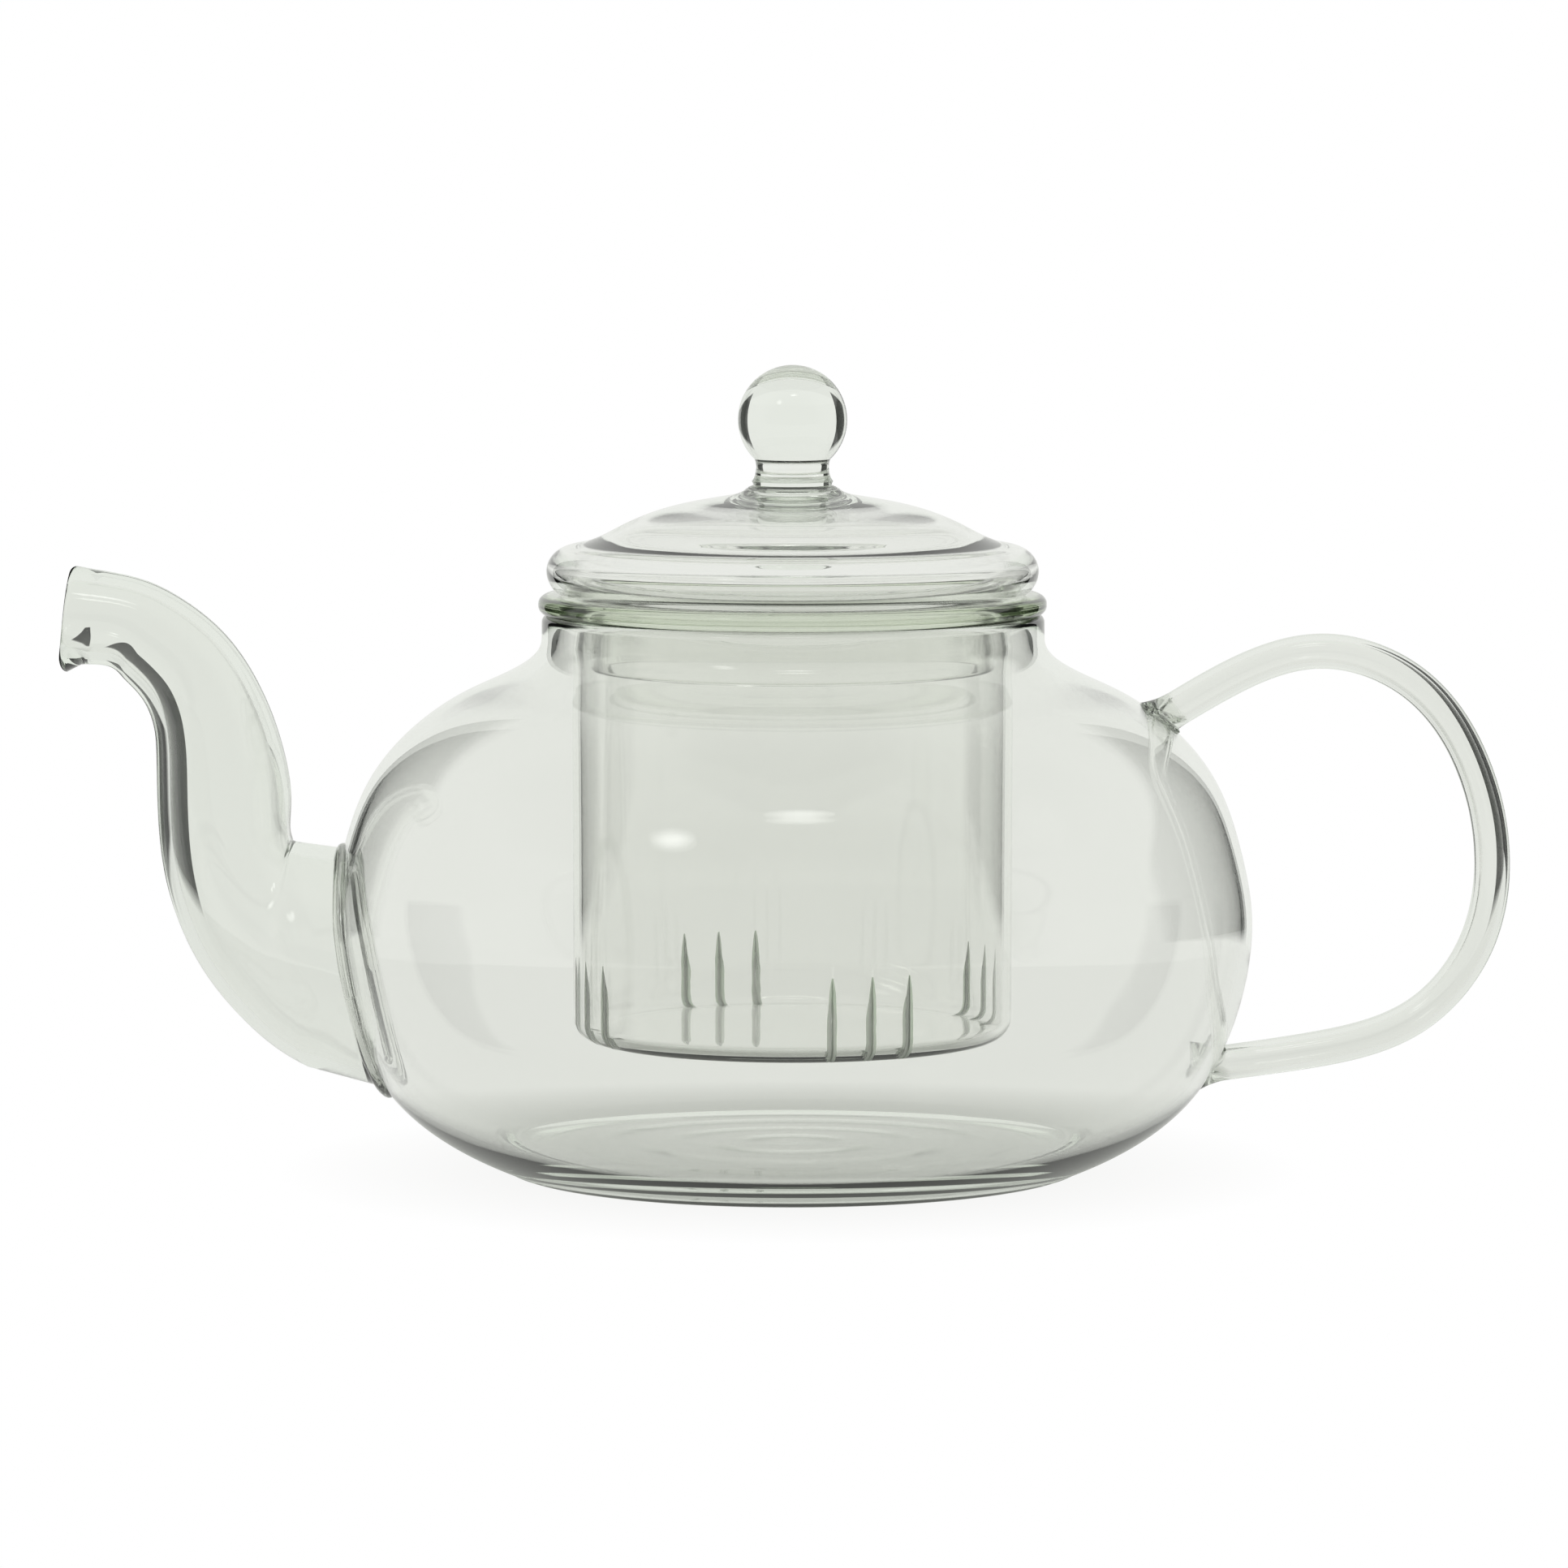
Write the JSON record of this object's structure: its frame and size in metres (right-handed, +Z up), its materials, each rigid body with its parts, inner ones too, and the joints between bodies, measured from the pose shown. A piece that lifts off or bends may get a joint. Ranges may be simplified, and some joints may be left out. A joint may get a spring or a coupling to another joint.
{
  "type": "glass teapot",
  "caption": "Clear glass teapot with S-shaped spout, bent rod handle, lift-out slotted infuser and lift-off lid with a ball knob.",
  "frame": {"origin": "centre of the flat foot's underside, on the axis of the pot", "axes": "+Z up along the pot's axis, -X towards the spout, +X towards the handle; the foot faces -Z"},
  "size_m": [0.239, 0.152, 0.133],
  "materials": {
    "pot_glass": "clear blown glass",
    "rod_glass": "clear drawn glass",
    "infuser_glass": "clear glass, slots ground matt",
    "flange_glass": "clear glass, green where it is thick",
    "lid_glass": "clear blown glass",
    "knob_glass": "clear solid glass"
  },
  "bodies": {
    "pot": {"pot_bulb": "pot_glass", "spout": "pot_glass", "spout_weld": "pot_glass", "handle": "rod_glass", "handle_top_weld": "rod_glass", "handle_bottom_weld": "rod_glass"},
    "infuser": {"infuser_cup": "infuser_glass", "infuser_flange": "flange_glass"},
    "lid": {"lid_dome": "lid_glass", "lid_skirt": "lid_glass", "knob_stem": "knob_glass", "lid_knob": "knob_glass"}
  },
  "joints": [
    {"name": "infuser_lift", "type": "slide", "parent": "pot", "child": "infuser", "axis": [0, 0, 1], "range_m": [0, 0.09]},
    {"name": "lid_lift", "type": "slide", "parent": "infuser", "child": "lid", "axis": [0, 0, 1], "range_m": [0, 0.06]}
  ]
}
